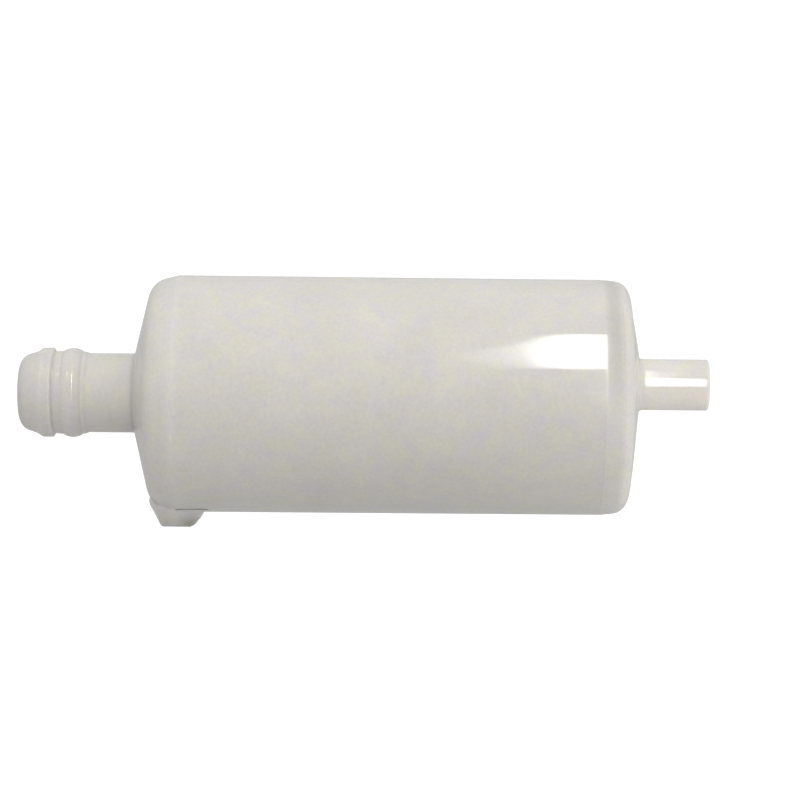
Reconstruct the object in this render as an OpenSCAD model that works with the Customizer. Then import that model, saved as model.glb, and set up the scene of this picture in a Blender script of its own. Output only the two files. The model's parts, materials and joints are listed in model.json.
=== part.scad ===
// In-line fuel filter for a small engine: a welded nylon housing around a pleated paper element.
// Fuel flows along +X, from the barbed inlet, through the pleats inwards and out of the plain stub.
// The origin is the centre of the inlet mouth, the lug points to -Z, and the outlet sits above the axis.

/* [Housing] */
// Outside diameter of the housing at the weld seam
body_d = 29.4; // [25:0.1:38]
// How much narrower the barrel is at its outlet shoulder, as moulding draft
body_draft = 0.16; // [0:0.02:0.6]
// Length of the barrel from the weld seam to its outlet shoulder
barrel_len = 53.1; // [40:0.1:75]
// Wall thickness of the housing
wall = 1.8; // [1.2:0.1:2.2]

/* [Inlet cap] */
// Length from the root of the stem to the weld seam
cap_len = 5.4; // [4.4:0.1:7]
// Slope of the cap's conical face
cap_slope = 14; // [8:1:18]
// Radius of the rounded corner of the cap
cap_corner_r = 2.5; // [1.5:0.1:3]
// Angle of the tapered shoulder between the corner and the seam
cap_taper = 14.5; // [8:0.5:18]
// Length of the locating spigot that enters the barrel
spigot_len = 3; // [2:0.1:4]
// Wall thickness of the locating spigot
spigot_wall = 1.2; // [0.8:0.1:1.6]
// Radial clearance of the spigot in the barrel
spigot_gap = 0.05; // [0.02:0.01:0.1]

/* [Inlet stem] */
// Length of the stem from the mouth to the root
stem_len = 14.3; // [12:0.1:20]
// Outside diameter of the plain stem
stem_d = 9.86; // [8.2:0.02:12]
// Bore of the inlet stem
inlet_bore_d = 5.6; // [4.4:0.1:6.2]
// Height of the barb and of the bead above the stem, for a 9.5 mm hose
barb_h = 0.62; // [0.5:0.01:0.8]
// Distance from the mouth to the rear edge of the barb
barb_back = 4.2; // [3.8:0.1:5.2]
// Length of the cylindrical land on the barb crest
barb_land = 1; // [0.8:0.1:1.2]
// Width of the flat lip round the mouth
nose_lip = 0.3; // [0.2:0.05:0.5]
// Radius of the rounded nose
nose_r = 1.75; // [1.3:0.05:1.9]
// Depth of the groove between the barb and the bead
groove_depth = 0.45; // [0.3:0.05:0.5]
// Distance from the rear edge of the barb to the middle of the bead
bead_gap = 2.4; // [2.2:0.1:3.5]
// Radius of the bead's section
bead_r = 2; // [1.6:0.1:2.2]

/* [Outlet end] */
// Length from the barrel's shoulder to the root of the stub
end_len = 4.1; // [3.6:0.1:5]
// Slope of the conical end face
end_slope = 8.5; // [5:0.5:12]
// Radius of the rounded corner of the outlet end
end_corner_r = 2; // [1.4:0.1:2.2]
// Angle of the tapered shoulder before the corner
end_taper = 10; // [6:0.5:12]
// Length of the outlet stub
stub_len = 8.6; // [7:0.1:14]
// Outside diameter of the outlet stub, for a 6 mm hose
stub_d = 6.35; // [5.8:0.05:7]
// Width of the flat pad round the foot of the outlet stub
stub_pad_w = 0.9; // [0.5:0.1:1.5]
// Bore of the outlet stub
outlet_bore_d = 4.3; // [3.4:0.1:4.4]
// Height of the stub's axis above the axis of the housing
outlet_rise = 1.65; // [0:0.05:1.8]
// Depth of the barrel's floor past its shoulder
floor_depth = 1.2; // [0.8:0.1:1.4]

/* [Seam lug] */
// Height of the lug above the housing
lug_h = 1.8; // [1:0.1:3]
// Width of the lug's foot around the housing
lug_w = 7.2; // [5:0.1:9]
// Width of the lug's flat top
lug_top_w = 4.6; // [3:0.1:5]
// Length of the lug's flat top on the cap's side of the seam
lug_cap_top = 1.85; // [1.5:0.05:2.2]
// Length of the lug's flat top on the barrel's side of the seam
lug_barrel_top = 1.6; // [1:0.1:2.5]
// Run of the lug's sloping end on the cap
lug_cap_run = 1.65; // [1:0.05:1.8]
// Run of the lug's sloping end on the barrel
lug_barrel_run = 2.6; // [1:0.1:3]

/* [Filter element] */
// Distance from the weld seam to the front of the inlet end disc
element_start = 5; // [4.4:0.1:8]
// Clearance between the end discs and the wall of the barrel, for the fuel to pass
flow_gap = 0.8; // [0.6:0.1:2]
// Thickness of the end discs
disc_t = 1.2; // [1:0.1:1.6]
// Height of the rim that holds the potting
rim_h = 1.2; // [1:0.1:2]
// Wall thickness of that rim
rim_wall = 0.5; // [0.4:0.1:0.8]
// Thickness of the potting between a disc and the pleats
potting_t = 0.8; // [0.5:0.1:1]
// Number of pleats
pleats = 28; // [20:1:30]
// Clearance between the pleats and the rims of the discs
pleat_rim_gap = 0.3; // [0.2:0.05:0.6]
// Clearance between the pleats and the core
pleat_core_gap = 0.3; // [0.2:0.05:0.6]
// Thickness of the filter paper
paper_t = 0.45; // [0.3:0.05:0.5]
// Depth of the adhesive in the seam valley, along the valley's side
bead_depth = 2.8; // [2:0.1:3.5]
// Outside diameter of the support core
core_d = 11.2; // [10.4:0.1:13.5]
// Wall thickness of the support core
core_wall = 1; // [0.8:0.1:1.2]
// Diameter of the holes in the core
core_hole_d = 2; // [1.4:0.1:2.4]
// Number of rows of holes along the core
core_rows = 11; // [8:1:12]
// Number of legs that hold the element off the cap
legs = 4; // [3:1:6]
// Thickness of each leg
leg_t = 1.4; // [1:0.1:2]
// Distance from the edge of the disc in to the legs
leg_inset = 2.3; // [1.8:0.1:2.5]

/* [Outlet seat] */
// Diameter of the socket that takes the element's nozzle
socket_d = 10.4; // [8.6:0.1:12.5]
// Depth of the socket
socket_depth = 3.4; // [3:0.1:4]
// Wall thickness of the socket
socket_wall = 1.6; // [1.2:0.1:2]
// Radial clearance of the nozzle in the socket
nozzle_gap = 0.15; // [0.05:0.05:0.25]
// Clearance between the nozzle's tip and the bottom of the socket
nozzle_end_gap = 0.4; // [0.2:0.1:0.8]
// Wall thickness of the nozzle under its groove
nozzle_wall = 1.05; // [0.8:0.05:1.2]
// Section diameter of the relaxed O-ring
ring_section = 1.5; // [1.4:0.1:1.6]
// Radial squeeze of the O-ring
ring_squeeze = 0.25; // [0.15:0.05:0.3]
// Clearance of the O-ring at each side of its groove
ring_side_gap = 0.2; // [0.1:0.05:0.3]

/* [Hidden] */

shell_color = [0.90, 0.90, 0.88];
disc_color = [0.82, 0.84, 0.86];
paper_color = [0.93, 0.89, 0.76];
glue_color = [0.80, 0.70, 0.45];
core_color = [0.75, 0.80, 0.84];
rubber_color = [0.12, 0.12, 0.13];

round_fn = 96;
cut = 1;
eps = 0.01;

// Stations along the axis
seam_x = stem_len + cap_len;
shoulder_x = seam_x + barrel_len;
end_x = shoulder_x + end_len;
tip_x = end_x + stub_len;
floor_x = shoulder_x + floor_depth;
seat_x = floor_x - socket_depth;
out_disc_x = seat_x - disc_t;
in_disc_x = seam_x + element_start;
core_x = in_disc_x + disc_t;
pack_x = core_x + potting_t;
pack_end_x = out_disc_x - potting_t;

// Radii
seam_r = body_d / 2;
shoulder_r = (body_d - body_draft) / 2;
bore_r = seam_r - wall;
floor_r = shoulder_r - wall;
stem_r = stem_d / 2;
stub_r = stub_d / 2;
inlet_bore_r = inlet_bore_d / 2;
barb_r = stem_r + barb_h;
groove_bottom_r = barb_r - groove_depth;
bead_x = barb_back + bead_gap;
disc_r = floor_r - flow_gap;
rim_r = disc_r - rim_wall;
core_r = core_d / 2;
pack_in_r = core_r + pleat_core_gap;
pack_out_r = rim_r - pleat_rim_gap;
socket_r = socket_d / 2;
nozzle_r = socket_r - nozzle_gap;
ring_groove_r = socket_r - (ring_section - ring_squeeze);
ring_groove_w = ring_section + 2 * ring_side_gap;
ring_x = seat_x + (socket_depth - nozzle_end_gap) / 2;
lug_r = seam_r + lug_h;

// Thickness of a sloping wall, measured along the axis
cap_wall_x = wall / cos(cap_slope);

// Place along the axis, at radius r, of the cap's conical face and of its inner side
function cap_face_x(r) = stem_len + (r - stem_r) * tan(cap_slope);
function cap_inner_x(r) = cap_face_x(r) + cap_wall_x;

// Points [r, x] on an arc about [r0, x0], from one angle to another, measured from +r towards +x
function arc(r0, x0, radius, from, to, steps = 8) =
    [for (i = [0:steps])
        let (a = from + (to - from) * i / steps)
        [r0 + radius * cos(a), x0 + radius * sin(a)]];

// A shoulder's corner: its arc touches the end cone and the taper that leads to [edge_r, edge_x].
// x counts away from the end face, so both ends of the housing use it.
function corner_r0(edge_r, face_x, face_r, slope, taper, radius, edge_x) =
    let (run = edge_x - face_x + face_r * tan(slope) - radius / cos(slope))
    (edge_r - radius / cos(taper) - run * tan(taper)) / (1 - tan(slope) * tan(taper));
function corner_points(edge_r, face_x, face_r, slope, taper, radius, edge_x) =
    let (r0 = corner_r0(edge_r, face_x, face_r, slope, taper, radius, edge_x))
    let (x0 = face_x + (r0 - face_r) * tan(slope) + radius / cos(slope))
    arc(r0, x0, radius, slope - 90, -taper);

// Turns an outline of [r, x] points about the X axis
module turned(points) {
    rotate([0, 90, 0]) rotate_extrude($fn = round_fn) polygon(points);
}

// A round bar along X, from one station to another
module bar(r, from, to) {
    translate([from, 0, 0]) rotate([0, 90, 0]) cylinder(r = r, h = to - from, $fn = round_fn);
}

// A ring along X
module ring(r_out, r_in, from, to) {
    difference() {
        bar(r_out, from, to);
        bar(r_in, from - cut, to + cut);
    }
}

// One half of the lug: an outline of [x, z] points with sloping sides, clear of the inside of the housing
module lug_half(points) {
    section = [
        [-lug_w / 2, -bore_r + cut],
        [-lug_w / 2, -bore_r],
        [-lug_top_w / 2, -lug_r],
        [lug_top_w / 2, -lug_r],
        [lug_w / 2, -bore_r],
        [lug_w / 2, -bore_r + cut]];
    difference() {
        intersection() {
            translate([0, lug_w / 2, 0]) rotate([90, 0, 0]) linear_extrude(lug_w) polygon(points);
            translate([stem_len, 0, 0]) rotate([90, 0, 90]) linear_extrude(barrel_len) polygon(section);
        }
        bar(bore_r, seam_x - cap_len, shoulder_x);
    }
}

// Nose, barb, groove, bead and plain stem, as [r, x] points from the mouth to the root
function stem_outline() = concat(
    arc(inlet_bore_r + nose_lip, nose_r, nose_r, -90, -20),
    [[barb_r, barb_back - barb_land],
     [barb_r, barb_back],
     [groove_bottom_r, barb_back + groove_depth / 2]],
    arc(barb_r - bead_r, bead_x, bead_r, -bead_angle(groove_bottom_r), bead_angle(stem_r), 12));

// Angle on the bead's section at which it comes down to radius r
function bead_angle(r) = acos((r - barb_r + bead_r) / bead_r);

module inlet_cap() {
    spigot_r = bore_r - spigot_gap;
    inner_r = spigot_r - spigot_wall;
    outside = concat(stem_outline(), [[stem_r, stem_len]],
        corner_points(seam_r, stem_len, stem_r, cap_slope, cap_taper, cap_corner_r, seam_x),
        [[seam_r, seam_x], [spigot_r, seam_x], [spigot_r, seam_x + spigot_len]]);
    inside = [
        [inner_r, seam_x + spigot_len],
        [inner_r, cap_inner_x(inner_r)],
        [inlet_bore_r, cap_inner_x(inlet_bore_r)],
        [inlet_bore_r, 0]];
    color(shell_color) {
        union() {
            turned(concat(outside, inside));
            lug_half([
                [seam_x, -bore_r],
                [seam_x, -lug_r],
                [seam_x - lug_cap_top, -lug_r],
                [seam_x - lug_cap_top - lug_cap_run, -bore_r]]);
        }
    }
}

module barrel() {
    corner = corner_points(shoulder_r, -end_x, stub_r, end_slope, end_taper, end_corner_r, -shoulder_x);
    outline = concat(
        [[bore_r, seam_x], [seam_r, seam_x], [shoulder_r, shoulder_x]],
        [for (i = [len(corner) - 1:-1:0]) [corner[i][0], -corner[i][1]]],
        [[stub_r, end_x], [0, end_x], [0, floor_x], [floor_r, floor_x]]);
    color(shell_color) {
        difference() {
            union() {
                turned(outline);
                bar(socket_r + socket_wall, seat_x, floor_x + eps);
                translate([0, 0, outlet_rise]) bar(stub_r, floor_x + cut, tip_x);
                translate([0, 0, outlet_rise]) bar(stub_r + stub_pad_w, floor_x + cut, end_x);
                lug_half([
                    [seam_x, -bore_r],
                    [seam_x, -lug_r],
                    [seam_x + lug_barrel_top, -lug_r],
                    [seam_x + lug_barrel_top + lug_barrel_run, -bore_r]]);
            }
            bar(socket_r, seat_x - cut, floor_x);
            translate([0, 0, outlet_rise]) bar(outlet_bore_d / 2, floor_x - cut, tip_x + cut);
        }
    }
}

// An end disc: its plate, and from one station to another the rim that holds the potting
module disc_plate(plate_x, rim_from, rim_to) {
    bar(disc_r, plate_x, plate_x + disc_t);
    ring(disc_r, rim_r, rim_from, rim_to);
}

// A leg between the closed disc and the cap's conical inner face
module leg() {
    leg_in_r = core_r;
    leg_out_r = disc_r - leg_inset;
    intersection() {
        turned([
            [leg_in_r, cap_inner_x(leg_in_r)],
            [leg_out_r, cap_inner_x(leg_out_r)],
            [leg_out_r, in_disc_x + eps],
            [leg_in_r, in_disc_x + eps]]);
        translate([stem_len, -leg_t / 2, 0]) cube([core_x - stem_len, leg_t, seam_r]);
    }
}

module inlet_end_disc() {
    color(disc_color) {
        union() {
            disc_plate(in_disc_x, in_disc_x + eps, core_x + rim_h);
            for (i = [0:legs - 1]) rotate([i * 360 / legs, 0, 0]) leg();
        }
    }
}

module outlet_end_disc() {
    color(disc_color) {
        difference() {
            union() {
                disc_plate(out_disc_x, out_disc_x - rim_h, seat_x - eps);
                bar(nozzle_r, seat_x - eps, floor_x - nozzle_end_gap);
            }
            ring(nozzle_r + cut, ring_groove_r, ring_x - ring_groove_w / 2, ring_x + ring_groove_w / 2);
            bar(ring_groove_r - nozzle_wall, out_disc_x - cut, floor_x);
        }
    }
}

module potting(from) {
    color(glue_color) ring(rim_r, core_r, from, from + potting_t);
}

module inlet_end_potting() {
    potting(core_x);
}

module outlet_end_potting() {
    potting(pack_end_x);
}

// A point in the plane of the pleats, at radius r and angle a
function polar(r, a) = [r * cos(a), r * sin(a)];

// The pleats' two outlines: each pitch has one outer fold at its start and one inner fold half-way along
pitch = 360 / pleats;
outer_half = paper_t / pack_out_r * 180 / PI;
inner_half = paper_t / pack_in_r * 180 / PI;
function pleats_outside() = [for (i = [0:pleats - 1]) let (a = i * pitch) each [
    polar(pack_out_r, a - outer_half),
    polar(pack_out_r, a + outer_half),
    polar(pack_in_r + paper_t, a + pitch / 2)]];
function pleats_inside() = [for (i = [0:pleats - 1]) let (a = i * pitch) each [
    polar(pack_out_r - paper_t, a),
    polar(pack_in_r, a + pitch / 2 - inner_half),
    polar(pack_in_r, a + pitch / 2 + inner_half)]];

// Stands an outline in the plane of the pleats up as a bar along the pack
module along_pack() {
    translate([pack_x, 0, 0]) rotate([0, 90, 0]) linear_extrude(pack_end_x - pack_x) children();
}

module pleat_pack() {
    color(paper_color) {
        along_pack() difference() {
            polygon(pleats_outside());
            polygon(pleats_inside());
        }
    }
}

// Adhesive at the bottom of one valley, where the two ends of the paper meet
module seam_bead() {
    bottom = polar(pack_in_r + paper_t, pitch / 2);
    side_a = polar(pack_out_r, outer_half);
    side_b = polar(pack_out_r, pitch - outer_half);
    share = bead_depth / norm(side_a - bottom);
    color(glue_color) along_pack() {
        polygon([bottom, bottom + (side_a - bottom) * share, bottom + (side_b - bottom) * share]);
    }
}

module support_core() {
    row_step = (out_disc_x - core_x) / core_rows;
    color(core_color) {
        difference() {
            ring(core_r, core_r - core_wall, core_x, out_disc_x);
            for (i = [0:core_rows - 1], turn = [0, 60, 120]) {
                translate([core_x + (i + 0.5) * row_step, 0, 0]) rotate([turn + (i % 2) * 30, 0, 0])
                    cylinder(d = core_hole_d, h = 2 * core_d, center = true, $fn = 24);
            }
        }
    }
}

// The ring as squeezed between its groove and the socket
module outlet_o_ring() {
    mid_r = (ring_groove_r + socket_r) / 2;
    color(rubber_color) {
        translate([ring_x, 0, 0]) rotate([0, 90, 0]) rotate_extrude($fn = round_fn) intersection() {
            translate([mid_r, 0]) circle(d = ring_section, $fn = 48);
            translate([ring_groove_r, -ring_section]) square([socket_r - ring_groove_r, 2 * ring_section]);
        }
    }
}

inlet_cap();
barrel();
inlet_end_disc();
inlet_end_potting();
pleat_pack();
seam_bead();
support_core();
outlet_end_potting();
outlet_end_disc();
outlet_o_ring();
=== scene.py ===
"""Looks of the in-line fuel filter: moulded nylon shells around a pleated paper element.

The two shells, the paper and the potting rings are modelled finer than their CAD nodes and stand
for them. The other pieces keep their CAD shape and get a material of their own.
"""
import json
import math

import bpy
import bmesh
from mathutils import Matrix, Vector


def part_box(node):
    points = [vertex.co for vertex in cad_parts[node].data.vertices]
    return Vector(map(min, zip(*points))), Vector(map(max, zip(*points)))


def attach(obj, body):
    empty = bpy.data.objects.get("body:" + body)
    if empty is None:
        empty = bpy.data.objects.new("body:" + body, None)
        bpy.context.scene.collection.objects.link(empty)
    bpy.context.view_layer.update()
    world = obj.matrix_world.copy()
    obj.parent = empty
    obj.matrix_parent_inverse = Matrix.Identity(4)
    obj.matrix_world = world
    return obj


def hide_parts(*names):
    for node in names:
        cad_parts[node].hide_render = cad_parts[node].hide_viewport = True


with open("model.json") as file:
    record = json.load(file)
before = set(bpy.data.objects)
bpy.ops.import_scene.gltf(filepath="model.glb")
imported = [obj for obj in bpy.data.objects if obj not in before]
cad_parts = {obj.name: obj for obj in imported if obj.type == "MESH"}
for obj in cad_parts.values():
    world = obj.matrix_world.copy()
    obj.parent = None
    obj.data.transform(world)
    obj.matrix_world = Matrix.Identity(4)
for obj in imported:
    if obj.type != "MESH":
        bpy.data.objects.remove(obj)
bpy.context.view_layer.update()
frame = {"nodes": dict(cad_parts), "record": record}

MM = 0.001
RING_SEGMENTS = 144


# ---------------------------------------------------------------- sizes, from the frame

MOUNTS = {mount["name"]: mount for mount in frame["record"]["mounts"]}
BARREL_LOW, BARREL_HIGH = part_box("barrel")
PLEAT_LOW, PLEAT_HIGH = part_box("pleat_pack")

SEAM_X = BARREL_LOW.x
TIP_X = BARREL_HIGH.x
SPIGOT_END_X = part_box("inlet_cap")[1].x
SEAM_R = BARREL_HIGH.z
LUG_R = -BARREL_LOW.z
BARB_R = MOUNTS["inlet_barb"]["dims"]["r_mm"] * MM
INLET_BORE_R = MOUNTS["inlet_bore"]["dims"]["r_mm"] * MM
STUB_R = MOUNTS["outlet_stub"]["dims"]["r_mm"] * MM
OUTLET_BORE_R = MOUNTS["outlet_bore"]["dims"]["r_mm"] * MM
RISE = MOUNTS["outlet_stub"]["pos_m"][2]
FLOOR_X = TIP_X - MOUNTS["outlet_bore"]["dims"]["length_mm"] * MM

# Sizes that the frame does not give.
WALL = 1.8 * MM
BORE_R = SEAM_R - WALL

SPIGOT_GAP = 0.05 * MM
SPIGOT_WALL = 1.2 * MM
STEM_R = BARB_R - 0.62 * MM
STEM_LEN = SEAM_X - 5.4 * MM
CAP_SLOPE = 14
CAP_TAPER = 14.5
CAP_CORNER_R = 2.5 * MM

SHOULDER_X = FLOOR_X - 1.2 * MM
SHOULDER_R = SEAM_R - 0.08 * MM
FLOOR_R = SHOULDER_R - WALL
END_X = SHOULDER_X + 4.1 * MM
END_SLOPE = 8.5
END_TAPER = 10
END_CORNER_R = 2.0 * MM

SOCKET_R = 5.2 * MM
SOCKET_WALL = 1.6 * MM
SEAT_X = FLOOR_X - 3.4 * MM


# ---------------------------------------------------------------- outlines

def arc(x, r, radius, start, end, steps):
    """Places (x, radius) on an arc about (x, r), from one angle to another, from +r towards +x."""
    places = []
    for i in range(steps + 1):
        angle = math.radians(start + (end - start) * i / steps)
        places.append((x + radius * math.sin(angle), r + radius * math.cos(angle)))
    return places


def corner(edge, face, slope, taper, radius, steps=14):
    """The rounded corner between an end cone through face and a taper through edge, both (x, r)."""
    tan_slope, tan_taper = math.tan(math.radians(slope)), math.tan(math.radians(taper))
    run = edge[0] - face[0] + face[1] * tan_slope - radius / math.cos(math.radians(slope))
    r = edge[1] - radius / math.cos(math.radians(taper)) - run * tan_taper
    r /= 1 - tan_slope * tan_taper
    x = face[0] + (r - face[1]) * tan_slope + radius / math.cos(math.radians(slope))
    return arc(x, r, radius, slope - 90, -taper, steps)


def centred(places, height=0.0):
    """The same places as stations (x, radius, height of the centre)."""
    return [(x, r, height) for x, r in places]


def between(points, at):
    """The value at one place of a line through points (place, value)."""
    for (start, first), (end, last) in zip(points, points[1:]):
        if start <= at <= end:
            return first + (last - first) * (at - start) / (end - start)
    return points[-1][1]


# ---------------------------------------------------------------- modelling

SHARP_ANGLE = 27


def deselect():
    if bpy.context.mode != "OBJECT":
        bpy.ops.object.mode_set(mode="OBJECT")
    bpy.ops.object.select_all(action="DESELECT")


def activate(piece):
    deselect()
    piece.select_set(True)
    bpy.context.view_layer.objects.active = piece


def edit_all():
    """Puts the active piece in edit mode with all of it selected."""
    bpy.ops.object.mode_set(mode="EDIT")
    bpy.ops.mesh.select_all(action="SELECT")


def new_piece(name):
    """Names the primitive just added, and moves its place into its mesh."""
    piece = bpy.context.object
    piece.name = piece.data.name = name
    bpy.ops.object.transform_apply(location=True, rotation=True, scale=True)
    return piece


def add_ring(name, vertices, radius, x, height=0.0):
    """A ring of edges round the filter's length."""
    deselect()
    bpy.ops.mesh.primitive_circle_add(
        vertices=vertices, radius=radius, location=(x, 0, height), rotation=(0, math.pi / 2, 0)
    )
    return new_piece(name)


def extrude(x, z):
    bpy.ops.mesh.extrude_region_move(TRANSFORM_OT_translate={"value": (x, 0, z)})


def resize(value, centre):
    bpy.ops.transform.resize(value=value, center_override=centre)


def ring_form(name, stations):
    """Extrudes a ring of edges from station to station, and closes the last on the first."""
    x, radius, height = stations[0]
    piece = add_ring(name, RING_SEGMENTS, radius, x, height)
    edit_all()
    for next_x, next_radius, next_height in stations[1:]:
        extrude(next_x - x, next_height - height)
        scale = next_radius / radius
        resize((1, scale, scale), (next_x, 0, next_height))
        x, radius, height = next_x, next_radius, next_height
    bpy.ops.mesh.select_all(action="DESELECT")
    bpy.ops.mesh.select_non_manifold()
    bpy.ops.mesh.bridge_edge_loops()
    face_outwards(piece)
    return piece


def face_outwards(piece):
    """Ends edit mode with the faces pointing out of the solid."""
    bpy.ops.mesh.select_all(action="SELECT")
    bpy.ops.mesh.normals_make_consistent(inside=False)
    if bmesh.from_edit_mesh(piece.data).calc_volume(signed=True) < 0:
        bpy.ops.mesh.flip_normals()
    bpy.ops.object.mode_set(mode="OBJECT")


def smooth(piece, angle=SHARP_ANGLE):
    activate(piece)
    bpy.ops.object.shade_smooth_by_angle(angle=math.radians(angle))


def apply_modifier(piece, kind, **settings):
    modifier = piece.modifiers.new(kind.lower(), kind)
    for setting, value in settings.items():
        setattr(modifier, setting, value)
    activate(piece)
    bpy.ops.object.modifier_apply(modifier=modifier.name)


def unite(piece, other):
    """Joins other to piece as one closed skin."""
    apply_modifier(piece, "BOOLEAN", operation="UNION", solver="MANIFOLD", object=other)
    bpy.data.objects.remove(other)


def finish_piece(piece, material, slot, *nodes):
    """Gives a modelled piece its finish, and puts it in the place of its CAD nodes."""
    piece.data.materials.clear()
    piece.data.materials.append(material)
    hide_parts(*nodes)
    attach(piece, "root")


def finish_node(name, material):
    """Gives a piece that keeps its CAD shape its finish."""
    for slot in frame["nodes"][name].material_slots:
        slot.material = material


# ---------------------------------------------------------------- material tools

def new_material(name):
    material = bpy.data.materials.new(name)
    material.use_nodes = True
    return material, material.node_tree.nodes, material.node_tree.links


def set_inputs(node, **values):
    for name, value in values.items():
        node.inputs[name.replace("_", " ")].default_value = value


def feed(links, value, socket):
    """Links a socket to the one that value comes from, or sets it where value is a number."""
    if isinstance(value, bpy.types.NodeSocket):
        links.new(value, socket)
    else:
        socket.default_value = value


def new_group(name, inputs, outputs):
    """An empty node group with number sockets; each input is given as (name, value)."""
    group = bpy.data.node_groups.new(name, "ShaderNodeTree")
    for socket, value in inputs:
        made = group.interface.new_socket(socket, in_out="INPUT", socket_type="NodeSocketFloat")
        made.default_value = value
    for socket in outputs:
        group.interface.new_socket(socket, in_out="OUTPUT", socket_type="NodeSocketFloat")
    start = group.nodes.new("NodeGroupInput")
    end = group.nodes.new("NodeGroupOutput")
    return group, start, end


def calculate(nodes, links, operation, *values):
    """The result of a Math node; each value is a number or the socket it comes from."""
    made = nodes.new("ShaderNodeMath")
    made.operation = operation
    for value, socket in zip(values, made.inputs):
        feed(links, value, socket)
    return made.outputs["Value"]


def spread(nodes, links, value, span, result, soft=False):
    """The result of a Map Range node, which turns a value over span into one over result."""
    made = nodes.new("ShaderNodeMapRange")
    if soft:
        made.interpolation_type = "SMOOTHSTEP"
    names = ("Value", "From Min", "From Max", "To Min", "To Max")
    for name, number in zip(names, (value, *span, *result)):
        feed(links, number, made.inputs[name])
    return made.outputs["Result"]


def ramp(nodes, links, value, stops):
    """The result of a colour ramp through stops (place from 0 to 1, colour or grey)."""
    made = nodes.new("ShaderNodeValToRGB")
    elements = made.color_ramp.elements
    while len(elements) < len(stops):
        elements.new(0.5)
    for element, (place, tone) in zip(elements, stops):
        element.position = place
        element.color = tone if isinstance(tone, tuple) else (tone, tone, tone, 1)
    links.new(value, made.inputs["Fac"])
    return made.outputs["Color"]


def noise(nodes, links, place, **inputs):
    """The value of a noise texture read at a place."""
    made = nodes.new("ShaderNodeTexNoise")
    set_inputs(made, **inputs)
    links.new(place, made.inputs["Vector"])
    return made.outputs["Fac"]


def raise_surface(nodes, links, height, strength, relief):
    """Drives the shader's normal from a height, where relief is the height of 1."""
    bump = nodes.new("ShaderNodeBump")
    set_inputs(bump, Strength=strength, Distance=relief)
    links.new(height, bump.inputs["Height"])
    links.new(bump.outputs["Normal"], nodes["Principled BSDF"].inputs["Normal"])


# ---------------------------------------------------------------- moulded finishes

def moulding_group():
    """Cloudy tone and fine surface of a moulded plastic, cast resin or rubber."""
    group, start, end = new_group(
        "moulded_surface",
        [("Cloud Scale", 90), ("Cloud Amount", 0.02), ("Grain Scale", 900), ("Grain Amount", 0.3)],
        ["Tone", "Height", "Patchiness"],
    )
    nodes, links = group.nodes, group.links
    given = start.outputs
    place = nodes.new("ShaderNodeTexCoord").outputs["Object"]
    cloud = noise(nodes, links, place, Detail=4.0, Roughness=0.55)
    grain = noise(nodes, links, place, Detail=2.0)
    links.new(given["Cloud Scale"], cloud.node.inputs["Scale"])
    links.new(given["Grain Scale"], grain.node.inputs["Scale"])
    patch = calculate(nodes, links, "SUBTRACT", cloud, 0.5)
    fleck = calculate(nodes, links, "SUBTRACT", grain, 0.5)
    mottle = calculate(nodes, links, "ADD", patch, fleck)
    swing = calculate(nodes, links, "MULTIPLY", given["Cloud Amount"], 4.0)
    tone = calculate(nodes, links, "MULTIPLY_ADD", mottle, swing, 1.0)
    fine = calculate(nodes, links, "MULTIPLY", grain, given["Grain Amount"])
    height = calculate(nodes, links, "ADD", fine, cloud)
    links.new(tone, end.inputs["Tone"])
    links.new(height, end.inputs["Height"])
    links.new(cloud, end.inputs["Patchiness"])
    return group


MOULDING = moulding_group()
PATCH_SPAN = (0.3, 0.7)


def moulded(name, roughness, clouds, grain, relief, **inputs):
    """A material whose tone, roughness and relief come from the moulded surface group.

    clouds and grain are each (scale, amount), and roughness is its least and greatest value. The
    tint and the group are returned with it, because the colour is still to be set.
    """
    material, nodes, links = new_material(name)
    shader = nodes["Principled BSDF"]
    set_inputs(shader, **inputs)
    group = nodes.new("ShaderNodeGroup")
    group.node_tree = MOULDING
    for socket, value in zip(group.inputs, clouds + grain):
        socket.default_value = value
    tint = nodes.new("ShaderNodeVectorMath")
    tint.operation = "SCALE"
    links.new(group.outputs["Tone"], tint.inputs["Scale"])
    links.new(tint.outputs["Vector"], shader.inputs["Base Color"])
    polish = spread(nodes, links, group.outputs["Patchiness"], PATCH_SPAN, roughness)
    links.new(polish, shader.inputs["Roughness"])
    raise_surface(nodes, links, group.outputs["Height"], 1.0, relief)
    return material, tint, group


def plain_moulding(name, colour, **finish):
    """A moulded material of one colour."""
    material, tint, group = moulded(name, **finish)
    tint.inputs[0].default_value = colour
    return material


def disc_nylon():
    return plain_moulding(
        "satin_nylon_disc", colour=(0.72, 0.73, 0.72), roughness=(0.3, 0.42),
        clouds=(160, 0.02), grain=(2600, 0.5), relief=0.012 * MM,
        IOR=1.53, Subsurface_Weight=0.3, Subsurface_Scale=0.6 * MM,
    )


def core_nylon():
    return plain_moulding(
        "satin_nylon_core", colour=(0.66, 0.69, 0.70), roughness=(0.34, 0.48),
        clouds=(200, 0.03), grain=(2200, 0.6), relief=0.014 * MM,
        IOR=1.53, Subsurface_Weight=0.2, Subsurface_Scale=0.6 * MM,
    )


def amber_potting():
    return plain_moulding(
        "amber_plastisol", colour=(0.60, 0.46, 0.21), roughness=(0.22, 0.4),
        clouds=(420, 0.09), grain=(1400, 0.3), relief=0.02 * MM,
        Subsurface_Weight=0.5, Subsurface_Scale=0.8 * MM,
    )


def black_rubber():
    return plain_moulding(
        "black_rubber", colour=(0.028, 0.028, 0.03), roughness=(0.5, 0.68),
        clouds=(700, 0.12), grain=(5200, 0.8), relief=0.01 * MM, IOR=1.5,
    )


# ---------------------------------------------------------------- nylon of the housing

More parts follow.
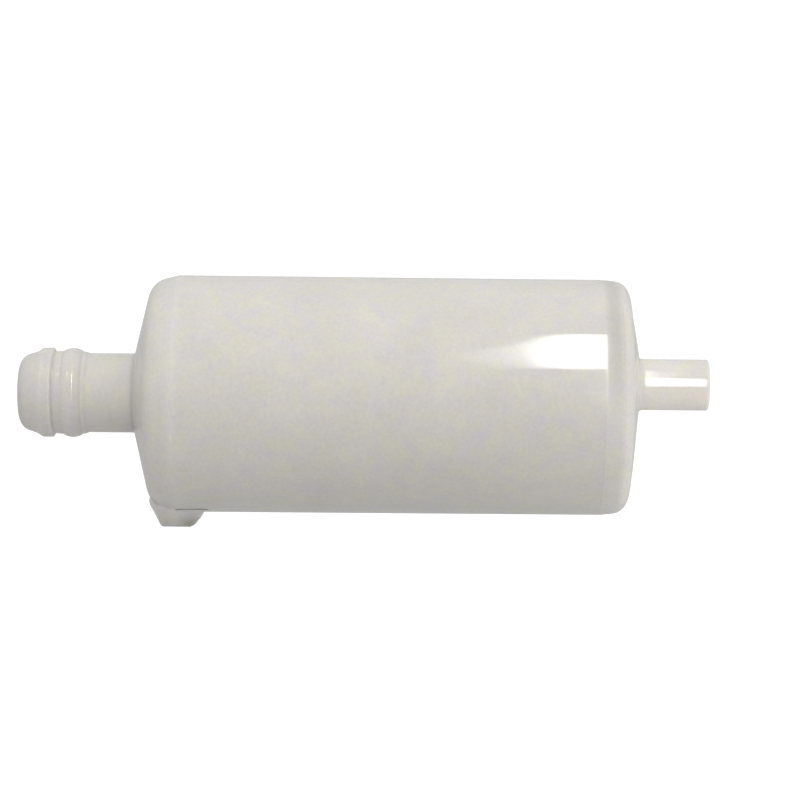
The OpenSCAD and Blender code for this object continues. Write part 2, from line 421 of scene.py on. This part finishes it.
# Lists give a value at stations in millimetres from the inlet's mouth.
NYLON_WARM = (0.910, 0.886, 0.790, 1)
NYLON_COOL = (0.890, 0.854, 0.850, 1)
# The tone along the length is the nylon's own grey with painted light and shade: darker at the
# mouth's rim and round the stem's root, where shade falls, and paler on the outlet end and the
# stub, standing in for light coming through the thin wall.
NYLON_TONES_AND_PAINTED_SHADE = [
    (0.0, 0.71), (1.2, 0.77), (2.2, 0.805), (9.5, 0.805), (11.7, 0.80), (13.8, 0.79),
    (14.4, 0.71), (15.0, 0.72), (15.9, 0.78), (17.0, 0.805), (18.6, 0.825), (20.0, 0.84),
    (73.9, 0.84), (74.5, 0.88), (76.6, 0.90), (77.2, 0.94), (78.2, 0.93), (80.5, 0.91),
    (83.0, 0.87), (85.5, 0.85),
]
# Painted shade on the lug: darker towards its foot, and darkest on the barrel's half.
LUG_PAINTED_SHADE_CAP = 0.77
LUG_PAINTED_SHADE_BARREL = 0.50
LUG_PAINTED_SHADE_SPAN = (SEAM_X - 0.5 * MM, SEAM_X + 2.2 * MM)
LUG_PAINTED_SHADE_DEPTHS = (-LUG_R, -SEAM_R + 0.4 * MM)
# Painted shade on the upper part of the outlet shoulder, over the shoulder band, which also
# roughens the surface there.
SHOULDER_BAND = [(71.9, 0.0), (72.6, 1.0), (73.5, 1.0), (74.5, 0.0)]
SHOULDER_PAINTED_SHADE = 0.16
PAINTED_SHADE_HEIGHTS = (-4 * MM, 7 * MM)
DULL_BAND = [(71.85, 0.0), (72.0, 1.0), (73.8, 1.0), (74.3, 0.0)]
DULL_HEIGHTS = (3.7 * MM, 2.9 * MM)
SHOULDER_DULL = 0.4
SEAM_FADE = [(18.7, 1.0), (19.4, 0.0), (20.0, 0.0), (20.7, 1.0)]


def nylon():
    """Milky natural nylon. Its tone along the length is its own grey with painted shade:
    darker at the inlet's mouth, round the stem's root, on the lug and on the upper outlet
    shoulder; and painted light: paler on the outlet end and the stub.

    The shoulder is duller too. The scattering fades out at the seam, where the shells touch.
    """
    material, tint, group = moulded(
        "natural_nylon", roughness=(0.05, 0.08),
        clouds=(150, 0.036), grain=(2300, 0.1), relief=0.002 * MM,
        IOR=1.53, Subsurface_Scale=0.8 * MM, Subsurface_Radius=(1.0, 0.95, 0.9),
    )
    nodes, links = material.node_tree.nodes, material.node_tree.links
    shader = nodes["Principled BSDF"]
    place = nodes.new("ShaderNodeTexCoord").outputs["Object"]
    split = nodes.new("ShaderNodeSeparateXYZ")
    links.new(place, split.inputs["Vector"])
    x, z = split.outputs["X"], split.outputs["Z"]
    station = spread(nodes, links, x, (0.0, TIP_X), (0.0, 1.0))

    def along(stops):
        return ramp(nodes, links, station, [(at * MM / TIP_X, value) for at, value in stops])

    # Painted shade on the lug, strongest at its foot and on the barrel's half.
    foot = spread(nodes, links, x, LUG_PAINTED_SHADE_SPAN, (LUG_PAINTED_SHADE_CAP, LUG_PAINTED_SHADE_BARREL))
    lug = spread(nodes, links, z, LUG_PAINTED_SHADE_DEPTHS, (foot, 1.0), soft=True)
    tone = calculate(nodes, links, "MULTIPLY", along(NYLON_TONES_AND_PAINTED_SHADE), lug)

    # Painted shade on the shoulder band, growing towards the top.
    band = along(SHOULDER_BAND)
    upper = spread(nodes, links, z, PAINTED_SHADE_HEIGHTS, (0.0, SHOULDER_PAINTED_SHADE), soft=True)
    shade = calculate(nodes, links, "MULTIPLY", band, upper)
    light = calculate(nodes, links, "SUBTRACT", 1.0, shade)
    tone = calculate(nodes, links, "MULTIPLY", tone, light)
    tone = calculate(nodes, links, "MULTIPLY", tone, group.outputs["Tone"])
    links.new(tone, tint.inputs["Scale"])

    cast = noise(nodes, links, place, Scale=480, Detail=3.0, Roughness=0.5)
    links.new(ramp(nodes, links, cast, [(0.35, NYLON_WARM), (0.65, NYLON_COOL)]), tint.inputs[0])

    polish = shader.inputs["Roughness"].links[0].from_socket
    lower = spread(nodes, links, z, DULL_HEIGHTS, (0.0, 1.0))
    below = calculate(nodes, links, "MULTIPLY", along(DULL_BAND), lower)
    dull = calculate(nodes, links, "MAXIMUM", below, band)
    rough = calculate(nodes, links, "MULTIPLY_ADD", dull, SHOULDER_DULL, polish)
    links.new(rough, shader.inputs["Roughness"])

    links.new(along(SEAM_FADE), shader.inputs["Subsurface Weight"])
    return material


# ---------------------------------------------------------------- filter paper

PAPER_DARK = (0.70, 0.63, 0.46, 1)
PAPER_PALE = (0.87, 0.82, 0.68, 1)
FIBRE_STRETCH = (0.25, 1, 1)


def filter_paper():
    """Resin-treated paper: felted fibres along the pleats, and a little unevenness in the resin."""
    material, nodes, links = new_material("filter_paper")
    shader = nodes["Principled BSDF"]
    set_inputs(shader, Roughness=0.85, Subsurface_Weight=0.15, Subsurface_Scale=0.4 * MM)
    place = nodes.new("ShaderNodeTexCoord").outputs["Object"]
    stretch = nodes.new("ShaderNodeMapping")
    stretch.inputs["Scale"].default_value = FIBRE_STRETCH
    links.new(place, stretch.inputs["Vector"])
    fibres = noise(
        nodes, links, stretch.outputs["Vector"], Scale=5200, Detail=3.0, Distortion=1.4
    )
    resin = noise(nodes, links, place, Scale=260, Detail=4.0)
    mixed = calculate(nodes, links, "MULTIPLY_ADD", fibres, 0.5, resin)
    colour = ramp(nodes, links, mixed, [(0.45, PAPER_DARK), (1.0, PAPER_PALE)])
    links.new(colour, shader.inputs["Base Color"])
    raise_surface(nodes, links, fibres, 0.8, 0.03 * MM)
    return material


# ---------------------------------------------------------------- the seam lug

# Each list runs down from inside the wall, in millimetres: depth below the axis, and size.
LUG_LENGTH_CAP = [(12.0, 3.0), (13.2, 3.3), (13.6, 3.2), (16.5, 1.85)]
LUG_LENGTH_BARREL = [
    (13.3, 4.0), (14.1, 3.9), (14.4, 3.5), (14.8, 3.12), (15.4, 2.8), (16.5, 1.95),
]
LUG_HALF_WIDTH = [(13.9, 3.7), (14.3, 3.5), (14.8, 3.1), (15.4, 2.75), (16.5, 2.3)]
LUG_ROOT_HALF_WIDTH = 3.75
LUG_EDGE_R = 0.3 * MM
TOUCH = 0.01 * MM


def lug_block(name, side, length):
    """Half of the seam lug, whose flanks curve in: side -1 is the cap's, side 1 the barrel's."""
    width = [(length[0][0], LUG_ROOT_HALF_WIDTH)] + LUG_HALF_WIDTH
    levels = [
        (depth * MM, between(length, depth) * MM, between(width, depth) * MM)
        for depth in sorted({depth for depth, size in length + width})
    ]
    depth, long, half = levels[0]
    deselect()
    bpy.ops.mesh.primitive_plane_add(size=1, location=(SEAM_X + side * long / 2, 0, -depth))
    bpy.context.object.scale = (long, 2 * half, 1)
    piece = new_piece(name)
    edit_all()
    for next_depth, next_long, next_half in levels[1:]:
        extrude(0, depth - next_depth)
        resize((next_long / long, next_half / half, 1), (SEAM_X, 0, -next_depth))
        depth, long, half = next_depth, next_long, next_half
    bpy.ops.mesh.select_all(action="SELECT")
    bpy.ops.mesh.normals_make_consistent(inside=False)
    round_lug_edges(piece)
    face_outwards(piece)
    return piece


def round_lug_edges(piece):
    """Rounds the foot's edges and the upright edges, but none on the face at the seam."""
    least_rise = 0.1 * MM
    clear_of_seam = 0.5 * MM
    mesh = bmesh.from_edit_mesh(piece.data)
    for edge in mesh.edges:
        start, end = (vert.co for vert in edge.verts)
        foot = (start.z + end.z) / 2 < -LUG_R + TOUCH
        away = abs((start.x + end.x) / 2 - SEAM_X) > clear_of_seam
        upright = abs(start.z - end.z) > least_rise and away
        at_seam = abs(start.x - SEAM_X) < TOUCH and abs(end.x - SEAM_X) < TOUCH
        edge.select_set((foot or upright) and not at_seam)
    mesh.select_flush(True)
    bmesh.update_edit_mesh(piece.data)
    bpy.ops.mesh.bevel(offset=LUG_EDGE_R, segments=4, affect="EDGES", profile=0.5)


# ---------------------------------------------------------------- inlet cap

def stem_stations():
    """Nose, barb, groove, bead and the bead's run-out, from the lip of the mouth."""
    nose_r = 1.75 * MM
    lip_r = INLET_BORE_R + 0.3 * MM
    ramp_place = (2.2 * MM, 5.08 * MM)
    crest_r = 1.2 * MM
    barb_back = 4.2 * MM
    barb_land = 1.0 * MM
    edge = 0.12 * MM
    groove_r = BARB_R - 0.45 * MM
    groove_fillet = 0.2 * MM
    bead_r = 2.0 * MM
    bead_x = barb_back + 2.4 * MM
    run_out_r = 0.9 * MM
    groove_angle = math.degrees(math.acos((groove_r - BARB_R + bead_r) / bead_r))
    stem_angle = math.degrees(math.acos((STEM_R - BARB_R + bead_r) / bead_r))
    places = arc(nose_r, lip_r, nose_r, -90, -20, 12)
    places += [ramp_place]
    places += arc(barb_back - barb_land, BARB_R - crest_r, crest_r, -18, 0, 4)
    places += [(barb_back - barb_land / 2, BARB_R)]
    places += arc(barb_back - edge, BARB_R - edge, edge, 0, 80, 5)
    places += arc(barb_back + 0.32 * MM, groove_r + groove_fillet, groove_fillet, 260, 180, 4)
    places += arc(bead_x, BARB_R - bead_r, bead_r, -groove_angle + 4, stem_angle - 8, 18)
    places += arc(bead_x + 2.15 * MM, STEM_R + run_out_r, run_out_r, 215, 180, 5)
    return places


def stem_root():
    """The plain stem's run to the cap, and the small fillet at its root."""
    fillet = 0.35 * MM
    places = [(STEM_LEN - 4 * MM, STEM_R), (STEM_LEN - fillet - 0.5 * MM, STEM_R)]
    places += arc(
        STEM_LEN - fillet + 0.08 * MM, STEM_R + fillet, fillet, 180, 180 - 90 + CAP_SLOPE, 5
    )
    return places


def inlet_cap_shell(material):
    """The domed cap with its stem outside, and its spigot, cone and bore inside."""
    spigot_r = BORE_R - SPIGOT_GAP
    inner_r = spigot_r - SPIGOT_WALL
    slope = math.tan(math.radians(CAP_SLOPE))
    inner_start = STEM_LEN + WALL / math.cos(math.radians(CAP_SLOPE)) - STEM_R * slope
    cone_r = inner_r - 0.5 * MM
    throat_r = INLET_BORE_R + 0.4 * MM
    lip = 0.12 * MM
    places = stem_stations() + stem_root()
    places += corner((SEAM_X, SEAM_R), (STEM_LEN, STEM_R), CAP_SLOPE, CAP_TAPER, CAP_CORNER_R)
    places += [
        (SEAM_X, SEAM_R),
        (SEAM_X, spigot_r),
        (SPIGOT_END_X - 0.4 * MM, spigot_r),
        (SPIGOT_END_X, spigot_r - 0.3 * MM),
        (SPIGOT_END_X, inner_r + 0.1 * MM),
        (SPIGOT_END_X - 0.1 * MM, inner_r),
        (inner_start + inner_r * slope + 0.5 * MM, inner_r),
        (inner_start + cone_r * slope, cone_r),
        (inner_start + throat_r * slope, throat_r),
        (inner_start + INLET_BORE_R * slope + 0.3 * MM, INLET_BORE_R),
        (lip, INLET_BORE_R),
        (0.0, INLET_BORE_R + lip),
    ]
    piece = ring_form("inlet_cap_shell", centred(places))
    unite(piece, lug_block("lug_cap_half", -1, LUG_LENGTH_CAP))
    smooth(piece)
    finish_piece(piece, material, "shell", "inlet_cap")


# ---------------------------------------------------------------- barrel

# Rings on the barrel's side, in millimetres from the seam and back from the shoulder. They keep
# the faces short where the lug joins, and the shading true beside the shoulder.
RINGS_PAST_SEAM = (1.2, 2.6, 4.4, 5.6)
RINGS_BEFORE_SHOULDER = (1.6, 0.85, 0.75)
CONE_STEPS = 12


def barrel_side():
    """The barrel's slight draught, from the seam to the start of the shoulder's rounding."""
    draught = (SHOULDER_R - SEAM_R) / (SHOULDER_X - SEAM_X)
    places = [(SEAM_X, SEAM_R)]
    places += [(SEAM_X + run * MM, SEAM_R + draught * run * MM) for run in RINGS_PAST_SEAM]
    places += [
        (SHOULDER_X - run * MM, SHOULDER_R - draught * run * MM) for run in RINGS_BEFORE_SHOULDER
    ]
    places += [
        (SHOULDER_X - 0.4 * MM, SHOULDER_R - 0.025 * MM),
        (SHOULDER_X, SHOULDER_R - 0.07 * MM),
    ]
    return centred(places)


def outlet_end():
    """The end cone, whose rings rise to the stub's axis, the root fillet, the stub and its bore."""
    slope = math.tan(math.radians(END_SLOPE))
    fillet = 0.6 * MM
    rim = 0.22 * MM
    edge = (-SHOULDER_X, SHOULDER_R)
    face = (-END_X, STUB_R)
    rounding = corner(edge, face, END_SLOPE, END_TAPER, END_CORNER_R)
    shoulder = [(-x, r, 0.0) for x, r in reversed(rounding)]
    outer_r = shoulder[-1][1]
    inner_r = STUB_R + fillet
    cone = []
    for i in range(1, CONE_STEPS + 1):
        share = i / CONE_STEPS
        r = outer_r + (inner_r - outer_r) * share
        lift = share * share * (3 - 2 * share)
        cone.append((END_X - (r - STUB_R) * slope, r, RISE * lift))
    root_x = cone[-1][0]
    root = arc(root_x + fillet * 0.98, inner_r, fillet, 262, 180, 8)
    stub = [(root_x + fillet + 0.2 * MM, STUB_R), (TIP_X - rim - 0.3 * MM, STUB_R)]
    stub += arc(TIP_X - rim, STUB_R - rim, rim, 0, 90, 5)
    bore = arc(TIP_X - rim, OUTLET_BORE_R + rim, rim, 90, 180, 5)
    bore += [(FLOOR_X + 0.2 * MM, OUTLET_BORE_R), (FLOOR_X, OUTLET_BORE_R + 0.2 * MM)]
    return shoulder + cone + centred(root + stub + bore, RISE)


def barrel_inside():
    """The socket for the element's nozzle, the floor round it and the plain bore."""
    outer_r = SOCKET_R + SOCKET_WALL
    socket_edge = 0.3 * MM
    rim = 0.15 * MM
    foot = 0.4 * MM
    fillet = 0.8 * MM
    places = [
        (FLOOR_X, SOCKET_R),
        (SEAT_X + socket_edge, SOCKET_R),
        (SEAT_X, SOCKET_R + socket_edge),
        (SEAT_X, outer_r - rim),
        (SEAT_X + rim, outer_r),
        (FLOOR_X - foot, outer_r),
        (FLOOR_X, outer_r + foot),
        (FLOOR_X, FLOOR_R - fillet),
    ]
    places += arc(FLOOR_X - fillet, FLOOR_R - fillet, fillet, 75, 0, 5)
    places += [(SEAM_X, BORE_R)]
    return centred(places)


def barrel_shell(material):
    """The barrel with its closed outlet end, its stub and its half of the lug."""
    piece = ring_form("barrel_shell", barrel_side() + outlet_end() + barrel_inside())
    unite(piece, lug_block("lug_barrel_half", 1, LUG_LENGTH_BARREL))
    smooth(piece)
    finish_piece(piece, material, "shell", "barrel")


# ---------------------------------------------------------------- paper and potting

PLEATS = 28
PLEAT_STEPS = 12
# Height of the fold at each step from a crest to the valley beside it, as a share of its depth.
FOLD_SHARES = (1.0, 0.94, 0.67, 0.39, 0.135, 0.024, 0.0)
PAPER_THICKNESS = 0.32 * MM
PAPER_WANDER = 0.04 * MM
PLEAT_ROOT_R = 5.9 * MM
PAPER_LENGTHS = 10
PAPER_SHARP_ANGLE = 60
POTTING_BORE_R = 5.6 * MM
POTTING_SHARP_ANGLE = 50


def pleated_paper(material):
    """A tube of paper in rounded folds: each step round a pleat has its own radius."""
    out_r = PLEAT_HIGH.y - PAPER_THICKNESS / 2
    in_r = PLEAT_ROOT_R + PAPER_THICKNESS / 2
    count = PLEATS * PLEAT_STEPS
    piece = add_ring("pleated_paper", count, out_r, PLEAT_LOW.x)
    bpy.ops.object.mode_set(mode="EDIT")
    for step, share in enumerate(FOLD_SHARES):
        mesh = bmesh.from_edit_mesh(piece.data)
        for vert in mesh.verts:
            turn = math.atan2(vert.co.y, -vert.co.z) / (2 * math.pi)
            past_crest = round(turn * count) % PLEAT_STEPS
            vert.select_set(min(past_crest, PLEAT_STEPS - past_crest) == step)
        mesh.select_flush_mode()
        bmesh.update_edit_mesh(piece.data)
        scale = (in_r + (out_r - in_r) * share) / out_r
        resize((1, scale, scale), (PLEAT_LOW.x, 0, 0))
    bpy.ops.mesh.select_all(action="SELECT")
    for i in range(PAPER_LENGTHS):
        extrude((PLEAT_HIGH.x - PLEAT_LOW.x) / PAPER_LENGTHS, 0)
        if i < PAPER_LENGTHS - 1:
            bpy.ops.transform.vertex_random(offset=PAPER_WANDER, seed=i)
    bpy.ops.object.mode_set(mode="OBJECT")
    apply_modifier(piece, "SOLIDIFY", thickness=PAPER_THICKNESS, offset=0, use_even_offset=True)
    apply_modifier(piece, "SUBSURF", levels=1, render_levels=1)
    bpy.ops.object.mode_set(mode="EDIT")
    face_outwards(piece)
    smooth(piece, PAPER_SHARP_ANGLE)
    finish_piece(piece, material, "filter_paper", "pleat_pack")


def potting_ring(name, node, side, material):
    """Resin poured round the paper's end, which creeps up the disc's rim and the core.

    side points into the pack, and each place on the creep is (rise, distance from the edge).
    """
    low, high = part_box(node)
    base, level = (low.x, high.x) if side > 0 else (high.x, low.x)
    out_r = high.y
    creep = [(0.3 * MM, 0.0), (0.12 * MM, 0.1 * MM), (0.03 * MM, 0.25 * MM), (0.0, 0.5 * MM)]
    places = [(base, POTTING_BORE_R), (base, out_r)]
    places += [(level + side * rise, out_r - inset) for rise, inset in creep]
    places += [(level + side * rise, POTTING_BORE_R + inset) for rise, inset in reversed(creep)]
    piece = ring_form(name, centred(places))
    smooth(piece, POTTING_SHARP_ANGLE)
    finish_piece(piece, material, "potting", node)


# ---------------------------------------------------------------- stage, lights and camera

CAMERA_X = 47.23 * MM
CAMERA_Z = -0.56 * MM
CAMERA_DISTANCE = 343.6 * MM
CAMERA_ROLL = math.radians(0.54)
LENS = 124.2
SENSOR_WIDTH = 36
NEAR = 0.01
GROUND_Z = -60 * MM
GROUND_SIZE = 6
LIGHT_DISTANCE = 500 * MM
CARD_SIZE = 25 * MM

# Strength of the plain white that the camera sees, and of the light that the filter gets.
WHITE = 1.1
GROUND_BOUNCE = 0.48
SKY_LOW = 0.42
SKY_HIGH = 0.675
SKY_SPAN = (-0.5, 0.5)


def camera():
    bpy.ops.object.camera_add(
        location=(CAMERA_X, -CAMERA_DISTANCE, CAMERA_Z), rotation=(math.pi / 2, -CAMERA_ROLL, 0)
    )
    made = bpy.context.object
    made.data.lens = LENS
    made.data.sensor_width = SENSOR_WIDTH
    made.data.clip_start = NEAR
    bpy.context.scene.camera = made


def area_light(name, location, target, width, height, power, shape="RECTANGLE"):
    bpy.ops.object.light_add(type="AREA", location=location)
    light = bpy.context.object
    light.name = name
    light.rotation_euler = (Vector(target) - Vector(location)).to_track_quat("-Z", "Y").to_euler()
    light.data.shape = shape
    light.data.size = width
    light.data.size_y = height
    light.data.energy = power
    return light


def strip_light(name, left_x, right_x, low, high, radiance, shape="RECTANGLE"):
    """A light between two stations, in millimetres, and two elevations, in degrees."""
    left_x, right_x = left_x * MM, right_x * MM
    middle = math.radians((low + high) / 2)
    height = 2 * LIGHT_DISTANCE * math.tan(math.radians((high - low) / 2))
    width = right_x - left_x
    x = (left_x + right_x) / 2
    place = (x, -LIGHT_DISTANCE * math.cos(middle), LIGHT_DISTANCE * math.sin(middle))
    area = width * height * (math.pi / 4 if shape == "ELLIPSE" else 1)
    area_light(name, place, (x, 0, 0), width, height, radiance * math.pi * area, shape)


def reflector(name, location, target, size, power):
    """A card that fills a shadow and shows in no reflection."""
    card = area_light(name, location, target, size, size, power)
    card.visible_glossy = False
    card.visible_camera = False


def white_to_camera(nodes, links, shader, strength):
    """Makes a glow plain white to the camera, and of the given strength to every other ray."""
    path = nodes.new("ShaderNodeLightPath")
    choice = nodes.new("ShaderNodeMix")
    feed(links, strength, choice.inputs["A"])
    choice.inputs["B"].default_value = WHITE
    links.new(path.outputs["Is Camera Ray"], choice.inputs["Factor"])
    links.new(choice.outputs["Result"], shader.inputs["Strength"])


def ground():
    """A plain white floor that sends a soft bounce up to the filter."""
    deselect()
    bpy.ops.mesh.primitive_plane_add(size=GROUND_SIZE, location=(CAMERA_X, 0, GROUND_Z))
    floor = bpy.context.object
    floor.name = "ground"
    material, nodes, links = new_material("white_ground")
    nodes.remove(nodes["Principled BSDF"])
    glow = nodes.new("ShaderNodeEmission")
    white_to_camera(nodes, links, glow, GROUND_BOUNCE)
    links.new(glow.outputs["Emission"], nodes["Material Output"].inputs["Surface"])
    floor.data.materials.append(material)


def studio():
    """A soft sky, brighter overhead than low down."""
    world = bpy.data.worlds.new("studio")
    bpy.context.scene.world = world
    world.use_nodes = True
    nodes, links = world.node_tree.nodes, world.node_tree.links
    nodes["Background"].inputs["Color"].default_value = (1, 1, 1, 1)
    direction = nodes.new("ShaderNodeTexCoord")
    split = nodes.new("ShaderNodeSeparateXYZ")
    links.new(direction.outputs["Generated"], split.inputs["Vector"])
    sky = spread(nodes, links, split.outputs["Z"], SKY_SPAN, (SKY_LOW, SKY_HIGH), soft=True)
    white_to_camera(nodes, links, nodes["Background"], sky)


def lights():
    """The lamp at the upper right, in the parts that its reflection shows, a soft box and cards."""
    strip_light("key", left_x=97, right_x=124, low=26.5, high=62.5, radiance=9)
    strip_light(
        "key_end", left_x=86, right_x=109, low=27.5, high=61, radiance=9, shape="ELLIPSE"
    )
    strip_light(
        "key_tail", left_x=70, right_x=104, low=26, high=50, radiance=2.4, shape="ELLIPSE"
    )
    strip_light("stub_key", left_x=118, right_x=148, low=-28, high=29, radiance=11)
    area_light(
        "soft_box", location=(-165 * MM, -330 * MM, 420 * MM), target=(10 * MM, 0, 0),
        width=0.14, height=0.14, power=0.15, shape="ELLIPSE",
    )
    reflector(
        "front_card", location=(60 * MM, -480 * MM, 190 * MM), target=(50 * MM, 0, 0),
        size=0.3, power=0.05,
    )
    reflector(
        "stub_card", location=(104 * MM, -12 * MM, -22 * MM), target=(80 * MM, 0, 0),
        size=CARD_SIZE, power=0.0034,
    )
    reflector(
        "stem_card", location=(-6 * MM, -12 * MM, -22 * MM), target=(7 * MM, 0, -3 * MM),
        size=CARD_SIZE, power=0.0004,
    )


# ---------------------------------------------------------------- the filter on its stage

bpy.context.scene.view_settings.view_transform = "Standard"
camera()
ground()
studio()
lights()

housing = nylon()
inlet_cap_shell(housing)
barrel_shell(housing)

disc = disc_nylon()
potting = amber_potting()
pleated_paper(filter_paper())
potting_ring("inlet_potting_ring", "inlet_end_potting", 1, potting)
potting_ring("outlet_potting_ring", "outlet_end_potting", -1, potting)
finish_node("seam_bead", potting)
finish_node("inlet_end_disc", disc)
finish_node("outlet_end_disc", disc)
finish_node("support_core", core_nylon())
finish_node("outlet_o_ring", black_rubber())
